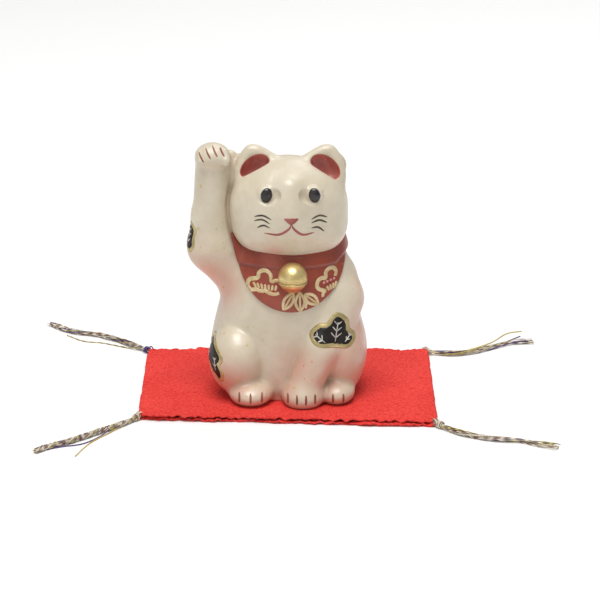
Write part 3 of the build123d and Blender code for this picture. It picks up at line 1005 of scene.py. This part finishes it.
def pearlGlaze():
    # warm ivory glaze, with browner painted shade in the hollows and pink painted shade low down, under the
    # chin and under the arm, flecked with gold and rust
    material, tree, surface = newMaterial("pearlGlaze", {"Coat Weight": 0.5, "Coat Roughness": 0.32})
    creaseShade = put(tree, "Attribute", {"attribute_name": "creaseShade"}).outputs["Fac"]
    pinkShade = put(tree, "Attribute", {"attribute_name": "pinkShade"}).outputs["Fac"]
    earRed = put(tree, "Attribute", {"attribute_name": "earRed"}).outputs["Fac"]
    cloud = place(tree, mottling, size=0.016, detail=4.0)["Cloud"]
    streak = place(tree, mottling, size=0.004, detail=3.0)["Cloud"]
    colour = mixed(tree, sums(tree, "MULTIPLY", cloud, 0.6), (0.71, 0.635, 0.49), (0.61, 0.525, 0.385))
    colour = mixed(tree, sums(tree, "MULTIPLY", streak, 0.16), colour, (0.56, 0.48, 0.36))
    # painted pink shade near those spots
    colour = mixed(tree, sums(tree, "MULTIPLY", pinkShade, 0.6), colour, (0.62, 0.25, 0.18))
    # painted shade: browner where the surface lies in a crease or hollow
    colour = mixed(tree, sums(tree, "MULTIPLY", creaseShade, 0.6), colour, (0.38, 0.26, 0.17))
    gold = place(tree, flecks, size=0.0028, amount=0.34, speck=0.25)["Mask"]
    gilt = put(tree, "Attribute", {"attribute_name": "gilt"}).outputs["Fac"]
    dusted = put(tree, "MapRange", None, {"Value": gilt, "To Min": 0.1, "To Max": 0.85}).outputs[0]
    colour = mixed(tree, sums(tree, "MULTIPLY", gold, dusted), colour, (0.56, 0.44, 0.12))
    rust = place(tree, flecks, size=0.0029, amount=0.16, shift=0.31, speck=0.22)["Mask"]
    reddest = put(tree, "MapRange", None, {"Value": pinkShade, "To Min": 0.1, "To Max": 0.95}).outputs[0]
    rusty = sums(tree, "MULTIPLY", rust, reddest)
    colour = mixed(tree, rusty, colour, (0.62, 0.22, 0.08))
    edge = ramp(tree, earRed, 0.42, 0.6)
    terracotta = mixed(tree, streak, (0.56, 0.18, 0.14), (0.46, 0.13, 0.10))
    tree.links.new(mixed(tree, edge, colour, terracotta), surface.inputs["Base Color"])
    rough = put(tree, "MapRange", None, {"Value": streak, "To Min": 0.36, "To Max": 0.5}).outputs["Result"]
    tree.links.new(sums(tree, "ADD", rough, sums(tree, "MULTIPLY", edge, 0.12)), surface.inputs["Roughness"])
    skin = place(tree, fineGrain, size=0.0016, wander=1.0)["Height"]
    slow = sums(tree, "MULTIPLY", streak, 1.4)
    bumped(tree, surface, sums(tree, "ADD", skin, slow), 0.4, 0.00016)
    return material


def bibEnamel():
    # brick-red enamel with paler specks, darkened in its creases as painted shade
    material, tree, surface = newMaterial("bibEnamel", {"Coat Weight": 0.3, "Coat Roughness": 0.22})
    cloud = place(tree, mottling, size=0.007, detail=4.0)["Cloud"]
    creaseShade = put(tree, "Attribute", {"attribute_name": "creaseShade"}).outputs["Fac"]
    colour = mixed(tree, cloud, (0.33, 0.062, 0.031), (0.25, 0.040, 0.021))
    speck = place(tree, flecks, size=0.0022, amount=0.3, shift=0.2, speck=0.2)["Mask"]
    colour = mixed(tree, sums(tree, "MULTIPLY", speck, 0.3), colour, (0.50, 0.15, 0.10))
    gilt = place(tree, flecks, size=0.0043, amount=0.16, shift=0.47, speck=0.12)["Mask"]
    colour = mixed(tree, sums(tree, "MULTIPLY", gilt, 0.55), colour, (0.62, 0.42, 0.18))
    # painted shade in the creases of the collar and bib
    colour = mixed(tree, sums(tree, "MULTIPLY", creaseShade, 0.7), colour, (0.12, 0.015, 0.012))
    tree.links.new(colour, surface.inputs["Base Color"])
    gloss = {"Value": cloud, "To Min": 0.34, "To Max": 0.52}
    tree.links.new(put(tree, "MapRange", None, gloss).outputs["Result"], surface.inputs["Roughness"])
    bumped(tree, surface, place(tree, fineGrain, size=0.0013, wander=1.0)["Height"], 0.4, 0.00012)
    return material


def bellGold():
    # gold lustre over a hammered-looking body, with a painted red reflection low down and painted shade in
    # its groove and foot
    shader = {"Coat Weight": 0.25, "Coat Roughness": 0.15, "Metallic": 0.75}
    material, tree, surface = newMaterial("bellGold", shader)
    red = put(tree, "Attribute", {"attribute_name": "paintedRedReflection"}).outputs["Fac"]
    creaseShade = put(tree, "Attribute", {"attribute_name": "creaseShade"}).outputs["Fac"]
    cloud = place(tree, mottling, size=0.003, detail=3.0)["Cloud"]
    colour = mixed(tree, cloud, (0.84, 0.66, 0.30), (0.66, 0.47, 0.18))
    # painted red reflection across the lower part of the bell
    colour = mixed(tree, sums(tree, "MULTIPLY", red, 0.85), colour, (0.58, 0.11, 0.04))
    # painted shade in the groove and where the bell meets the bib
    colour = mixed(tree, creaseShade, colour, (0.10, 0.05, 0.02))
    tree.links.new(colour, surface.inputs["Base Color"])
    gloss = {"Value": cloud, "To Min": 0.34, "To Max": 0.5}
    tree.links.new(put(tree, "MapRange", None, gloss).outputs["Result"], surface.inputs["Roughness"])
    bumped(tree, surface, cloud, 0.35, 0.0002)
    return material


def hollowness(piece, shape, reach):
    # 1 in a tight inner corner and 0 on open ground: how soon the field stops growing off the surface
    mesh = piece.data
    points = np.empty(len(mesh.vertices) * 3)
    mesh.vertices.foreach_get("co", points)
    points = points.reshape(-1, 3) / mm
    normals = np.array([tuple(v.vector) for v in mesh.vertex_normals])
    gap = shape(points + normals * reach)
    return points, np.clip((reach * 0.86 - gap) / (reach * 0.5), 0, 1)


cat = meshFromField("catFigure", catShape, (-40, -34, 1.0), (32, 32, 99), catSet["step"])
cat.data.materials.append(pearlGlaze())
# how deep each point lies in a crease, used for the painted shade there
spots, creases = hollowness(cat, catShape, 1.3)
keepMask(cat, "creaseShade", creases)
keepMask(cat, "pinkShade", spread(spots, pinkShadeSpots))
keepMask(cat, "gilt", spread(spots, giltSpots))
inEar = np.minimum(earScoop(mirrored(spots, 1)), earScoop(mirrored(spots, -1)))
keepMask(cat, "earRed", np.clip(1 - np.abs(inEar) / 0.9, 0, 1))
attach(cat, "cat")
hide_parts("cat_body", "raised_arm")
tell(f"cat has {len(cat.data.vertices)} points")

bib = meshFromField("collarAndBib", bibShape, (-25, -27, 32), (27, 24, 66), 0.28)
bib.data.materials.append(bibEnamel())
_, creases = hollowness(bib, bibShape, 0.8)
keepMask(bib, "creaseShade", creases)
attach(bib, "cat")
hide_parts("collar_bib")

bell = meshFromField("bellOnBib", bellShape, (-5, -28, 42), (9, -13, 56), 0.16)
bell.data.materials.append(bellGold())
spots, creases = hollowness(bell, bellShape, 0.35)
keepMask(bell, "creaseShade", creases)
# painted red reflection: a band low on the bell, weaker at the very bottom
low = np.clip((47.0 - spots[:, 2]) / 1.4, 0, 1)
keepMask(bell, "paintedRedReflection", low * np.clip((spots[:, 2] - 43.9) / 0.8, 0.25, 1))
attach(bell, "cat")
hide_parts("bell")
tell("collar, bib and bell are on")


# painted details: thin raised enamel laid on the surface from one side
def surfaceTree(pieces):
    verts, faces = [], []
    for piece in pieces:
        base = len(verts)
        verts += [v.co / mm for v in piece.data.vertices]
        faces += [[base + i for i in face.vertices] for face in piece.data.polygons]
    return BVHTree.FromPolygons(verts, faces)


def touch(tree, spot, turn):
    # where a line from the given side meets the surface: spot is (across, height)
    angle = math.radians(turn)
    across = Vector((math.cos(angle), math.sin(angle), 0))
    ahead = Vector((-math.sin(angle), math.cos(angle), 0))
    start = across * spot[0] - ahead * 90 + Vector((0, 0, spot[1]))
    spotOn, normal, _, _ = tree.ray_cast(start, ahead)
    if spotOn is None:
        return None
    if normal.dot(ahead) > 0:
        normal = -normal
    return spotOn, normal


def paintLine(tree, points, width, height, turn=0, closed=False, taper=0.5):
    # a rounded stroke whose every cross-section sits on the surface
    line = throughPoints(points, 0.3, closed)
    run = np.gradient(line, axis=0)
    if closed:
        run = np.roll(line, -1, 0) - np.roll(line, 1, 0)
    run /= np.maximum(np.linalg.norm(run, axis=1), 1e-9)[:, None]
    side = np.stack([-run[:, 1], run[:, 0]], 1)
    share = np.linspace(0, 1, len(line))
    thin = np.ones(len(line)) if closed else 1 - taper * (np.abs(2 * share - 1)) ** 3
    section = ((-1, -0.05), (-0.62, 0.8), (0, 1), (0.62, 0.8), (1, -0.05), (0.5, -0.5), (-0.5, -0.5))
    rings = []
    for spot, out, slim in zip(line, side, thin):
        ring = []
        for away, rise in section:
            found = touch(tree, spot + out * away * width / 2 * slim, turn)
            if found is None:
                break
            lift = rise * height if rise > 0 else rise * 0.2
            ring.append(found[0] + found[1] * lift)
        if len(ring) == len(section):
            rings.append(ring)
    count = len(section)
    verts = [p for ring in rings for p in ring]
    faces = []
    for i in range(len(rings) - (0 if closed else 1)):
        after = (i + 1) % len(rings)
        for j in range(count):
            k = (j + 1) % count
            faces.append([i * count + j, after * count + j, after * count + k, i * count + k])
    if not closed and rings:
        faces.append(list(range(count)))
        faces.append([(len(rings) - 1) * count + j for j in range(count - 1, -1, -1)])
    return verts, faces


def paintPatch(tree, outline, height, turn=0, dome=0.0, grid=0.55):
    # a filled area of enamel with a soft rim, raised in the middle by dome
    rim = throughPoints(outline, 0.3, True)
    low, high = rim.min(0), rim.max(0)
    inner = []
    for x in np.arange(low[0], high[0], grid):
        for z in np.arange(low[1], high[1], grid):
            gap = np.linalg.norm(rim - (x, z), axis=1).min()
            if gap > grid * 0.55 and insideLoop(rim, x, z):
                inner.append((x, z))
    count = len(rim)
    flat = [Vector(p) for p in np.concatenate([rim, np.array(inner).reshape(-1, 2)])]
    loop = [(i, (i + 1) % count) for i in range(count)]
    spots, _, faces, _, _, _ = delaunay_2d_cdt(flat, loop, [list(range(count))], 1, 1e-5)
    reach = max(np.linalg.norm(rim - rim.mean(0), axis=1).mean(), 0.5)
    top, bottom, keep = [], [], {}
    for n, spot in enumerate(spots):
        found = touch(tree, spot, turn)
        if found is None:
            continue
        gap = np.linalg.norm(rim - np.array(spot), axis=1).min()
        lift = height * min(1.0, gap / 0.35) ** 0.5 + dome * (1 - (1 - min(gap / reach, 1)) ** 2)
        keep[n] = len(top)
        top.append(found[0] + found[1] * (lift if gap > 0.02 else -0.03))
        bottom.append(found[0] - found[1] * 0.12)
    faces = [[keep[i] for i in face] for face in faces if all(i in keep for i in face)]
    edges = {}
    for face in faces:
        for a, b in zip(face, face[1:] + face[:1]):
            edges[(a, b)] = edges.get((b, a), 0) + 1
            if (b, a) in edges:
                edges[(b, a)] = edges[(a, b)] = 2
    shift = len(top)
    walls = [[b, a, a + shift, b + shift] for (a, b), uses in edges.items() if uses == 1]
    under = [[i + shift for i in reversed(face)] for face in faces]
    return top + bottom, faces + under + walls


def insideLoop(loop, x, z):
    a, b = loop, np.roll(loop, -1, 0)
    spans = (a[:, 1] > z) != (b[:, 1] > z)
    rise = np.where(spans, b[:, 1] - a[:, 1], 1)
    cross = a[:, 0] + (z - a[:, 1]) / rise * (b[:, 0] - a[:, 0])
    return (spans & (cross > x)).sum() % 2 == 1


def painted(name, material, parts):
    verts, faces = [], []
    for v, f in parts:
        base = len(verts)
        verts += [tuple(p * mm) for p in v]
        faces += [[base + i for i in face] for face in f]
    piece = meshObject(name, verts, faces)
    mesh = piece.data
    mesh.materials.append(material)
    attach(piece, "cat")
    return piece


skin = surfaceTree([cat])
clothed = surfaceTree([cat, bib])


def lines(tree, strokes, width, height, turn=0, taper=0.5):
    return [paintLine(tree, stroke, width, height, turn, taper=taper) for stroke in strokes]


# shapes that the painter's brush repeats, in millimetres across and up
def heading(degrees):
    return np.array([math.cos(math.radians(degrees)), math.sin(math.radians(degrees))])


def oval(centre, half, count=14, lean=0.0):
    angles = np.arange(count) / count * math.tau
    return [(centre[0] + half[0] * math.cos(a) + lean * math.sin(a),
            centre[1] + half[1] * math.sin(a)) for a in angles]


def scallops(lobes):
    # a line of round lobes, each (centre, radius, first angle, last angle)
    return [np.array(centre) + radius * heading(angle)
            for centre, radius, first, last in lobes for angle in np.linspace(first, last, 6)]


def needles(start, end, count, size, lean):
    # a row of short strokes that hang from a line and turn from the first lean to the last
    roots = np.linspace(start, end, count)
    return [[root, root + size * heading(angle - 90)]
            for root, angle in zip(roots, np.linspace(*lean, count))]


def bow(start, end, rise):
    # a stroke with an arch in it
    start, end = np.array(start, float), np.array(end, float)
    return [start, (start + end) / 2 + (0, rise), end]


def leaf(root, degrees, size, width):
    # both edges of a pointed leaf and its vein
    run, side = heading(degrees) * size, heading(degrees + 90) * width / 2
    share = np.linspace(0, 1, 6)
    edges = [[root + run * t + side * way * math.sin(math.pi * t) for t in share] for way in (-1, 1)]
    return edges, [root + run * 0.15, root + run * 0.85]


def sprig(root, degrees, size, pairs):
    # a stem with leaflets in pairs that get shorter towards its tip
    run = heading(degrees) * size
    strokes = [[np.array(root), root + run * 0.5, root + run]]
    for n in range(pairs):
        joint = root + run * (n + 0.6) / pairs
        for way in (-1, 1):
            strokes.append([joint, joint + heading(degrees + way * 50) * size * (0.38 - 0.05 * n)])
    return strokes


faceSet = {
    "eyeMiddle": 1.2, "eyeSpread": 8.4, "eyeHeight": 78.0, "eyeHalf": (2.1, 2.65), "eyeLean": 0.25,
    "nose": [(-1.0, 71.0), (1.5, 71.2), (4.0, 71.0), (3.5, 70.0), (1.5, 68.6), (-0.5, 70.0)],
    "mouth": [[(1.5, 69.0), (0.5, 67.0), (-3.0, 64.8), (-8.0, 64.8)],
              [(1.5, 69.0), (2.5, 67.0), (5.5, 64.8), (9.5, 65.2)]],
    "whiskers": [((-5.5, 70), (-11.5, 70.5)), ((-6, 68.5), (-11.5, 69)), ((-6, 67), (-10.5, 66.5)),
                 ((8.5, 70), (14, 70)), ((8.5, 68.8), (14, 68)), ((8.5, 67), (13, 65))],
    "whiskerRise": 0.9,
}


def paintFace():
    eyes = []
    for side in (-1, 1):
        middle = (faceSet["eyeMiddle"] + side * faceSet["eyeSpread"], faceSet["eyeHeight"])
        outline = oval(middle, faceSet["eyeHalf"], lean=-side * faceSet["eyeLean"])
        eyes.append(paintPatch(skin, outline, 0.16, dome=0.3, grid=0.4))
    painted("eyes", blackPaint, eyes)
    nose = [paintPatch(skin, faceSet["nose"], 0.14, dome=0.1, grid=0.4)]
    painted("noseAndMouth", nosePaint,
            nose + lines(skin, faceSet["mouth"], 1.0, 0.1, taper=0.85))
    whiskers = [bow(start, end, faceSet["whiskerRise"]) for start, end in faceSet["whiskers"]]
    painted("whiskers", whiskerPaint, lines(skin, whiskers, 0.72, 0.08, taper=0.75))


toeSet = {
    # middle of each foot's row of lines, its height, how many lines and how far apart
    "feet": [(-13.0, 7.9, 3, 4.0), (5.0, 7.8, 4, 3.2), (18.0, 7.1, 2, 3.7)],
    "drop": 3.4,
    "paw": {"first": -31.0, "apart": 2.4, "count": 4, "top": 93.2, "middle": -25.2, "arch": 0.06},
}


def paintToes():
    strokes = []
    for middle, height, count, apart in toeSet["feet"]:
        for n in range(count):
            x = middle + (n - (count - 1) / 2) * apart
            strokes.append([(x, height),
                            (x + 0.05, height - toeSet["drop"] / 2), (x, height - toeSet["drop"])])
    paw, pawStrokes = toeSet["paw"], []
    for n in range(paw["count"]):
        x = paw["first"] + n * paw["apart"]
        z = paw["top"] - paw["arch"] * (x - paw["middle"]) ** 2
        pawStrokes.append([(x, z), (x + 0.8, z - 1.6), (x + 1.8, z - 3.2)])
    toes = lines(skin, strokes, 0.85, 0.08, taper=0.6) + lines(skin, pawStrokes, 0.65, 0.07, taper=0.6)
    painted("toeLines", toePaint, toes)


# gold drawing on the bib: a pine at the left, a plum cut by the edge at the right, bamboo under the bell
bibDrawing = {
    "pine": [((-3.6, 44.8), 2.6, 60, 125), ((-8.0, 48.0), 2.4, -20, 185), ((-12.0, 45.2), 2.0, 100, 250),
             ((-9.2, 47.6), 4.2, 245, 290), ((-4.8, 46.6), 4.0, 240, 300)],
    "pineNeedles": ((-12.0, 46.0), (-3.8, 45.6), 7, 1.8, (35, -15)),
    "plum": [((15.4, 48.4), 1.9, -35, 200), ((12.6, 45.4), 2.1, 65, 265), ((14.2, 41.6), 1.6, 120, 200)],
    "plumNeedles": ((14.0, 44.4), (17.4, 45.6), 4, 1.8, (30, -10)),
    "plumDots": ((13.0, 45.8), (16.6, 46.6), 4),
    "leaves": [((2.2, 43.4), 240, 7.2, 3.0), ((4.4, 43.4), 272, 6.9, 3.2), ((6.0, 42.6), 322, 6.4, 3.0)],
    "stalk": [(7, 40), (6.5, 37.5)],
    # painted shade: a dark line across the collar at its crease under the chin
    "creaseShadeLine": [(-2, 55), (2.5, 54.8), (7, 55)],
}


def paintBib():
    d = bibDrawing
    leaves = [leaf(*shape) for shape in d["leaves"]]
    gold = lines(clothed, [scallops(d["pine"]), scallops(d["plum"])], 1.5, 0.15, taper=0.25)
    gold += lines(clothed, needles(*d["pineNeedles"]) + needles(*d["plumNeedles"]), 0.95, 0.12, taper=0.3)
    gold += lines(clothed, [edge for edges, _ in leaves for edge in edges], 1.15, 0.13, taper=0.3)
    gold += lines(clothed, [vein for _, vein in leaves] + [d["stalk"]], 0.8, 0.12, taper=0.3)
    painted("goldDrawing", goldPaint, gold)
    dots = [paintPatch(clothed, oval(spot, (0.5, 0.5), 8), 0.12, dome=0.1, grid=0.3)
            for spot in np.linspace(*d["plumDots"])]
    # painted shade: the dark crease line under the chin
    painted("collarCreaseShade", toePaint, lines(clothed, [d["creaseShadeLine"]], 0.5, 0.05, taper=0.8))
    painted("blossomDots", dotPaint, dots)


# black patches with a gold border and silver sprigs:
# side it faces, outline, sprigs by root, heading, size and pairs
patchSet = {
    "foreleg": (0, [(9, 28), (11, 25.5), (16, 25), (21, 23.5), (23.3, 25.6),
                    (21.2, 28.4), (20.5, 32), (17.5, 34), (14.5, 31),
                    (11.5, 30.5)],
                [((16.8, 25.6), 80, 6.4, 3), ((13.4, 25.8), 145, 4.2, 2), ((20.4, 24.6), 50, 2.9, 2)]),
    "haunch": (-62, [(-12, 19), (-7, 23), (-1.5, 23.5), (5.5, 20.5), (7.5, 18.5),
                     (6.5, 16.5), (8, 13.5), (6.5, 11),
                     (3.5, 13), (-1, 15.5), (-6.5, 14.5), (-10, 15)],
               [((5.2, 14.0), 100, 4.6, 2), ((-3.2, 16.6), 92, 5.4, 3), ((-9.4, 16.6), 92, 4.2, 2)]),
    "arm": (-62, [(-14.5, 62), (-12.5, 64), (-9.5, 62.5), (-9.5, 59.5), (-9, 56.5),
                  (-11, 55), (-14, 56), (-17, 59)],
            [((-12.4, 56.2), 92, 6.0, 3)]),
    "crown": (180, [(-14.5, 84), (-11, 86), (-6, 85.6), (0, 85.6), (3.5, 83),
                    (0, 78), (-5, 79.5), (-11, 78.5)],
              [((-2.6, 79.6), 92, 5.0, 3), ((-10.6, 80.0), 95, 4.6, 2)]),
    "back": (180, [(-12, 38), (-4, 43.5), (2.5, 40), (9, 38.5), (12, 32), (4, 28.5), (-4, 26.5), (-12, 30)],
             [((-1.0, 29.0), 90, 9.6, 3), ((5.4, 30.6), 60, 5.6, 2), ((-7.6, 30.0), 115, 6.2, 2)]),
}


def paintPatches():
    black, gold, silver = [], [], []
    for turn, outline, sprigs in patchSet.values():
        gold.append(paintLine(skin, outline, 2.4, 0.1, turn, closed=True))
        black.append(paintPatch(skin, outline, 0.2, turn))
        for shape in sprigs:
            silver += lines(skin, sprig(*shape), 0.55, 0.3, turn, taper=0.4)
    painted("patchBorders", borderPaint, gold)
    painted("blackPatches", patchPaint, black)
    painted("silverSprigs", silverPaint, silver)


paintFace()
paintToes()
paintBib()
paintPatches()
tell("painted details are on")


# floor, sizes and the end
def makeFloor():
    floor = meshObject("floor", [(-3, -3, 0), (3, -3, 0), (3, 3, 0), (-3, 3, 0)], [(0, 1, 2, 3)],
                       smooth=False)
    paper, tree, surface = newMaterial("floorPaper", {"Roughness": 0.6, "Specular IOR Level": 0.2})
    surface.inputs["Base Color"].default_value = (*lightSet["floor"], 1)
    floor.data.materials.append(paper)
    floor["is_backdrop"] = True


makeFloor()
bpy.context.view_layer.update()
low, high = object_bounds()
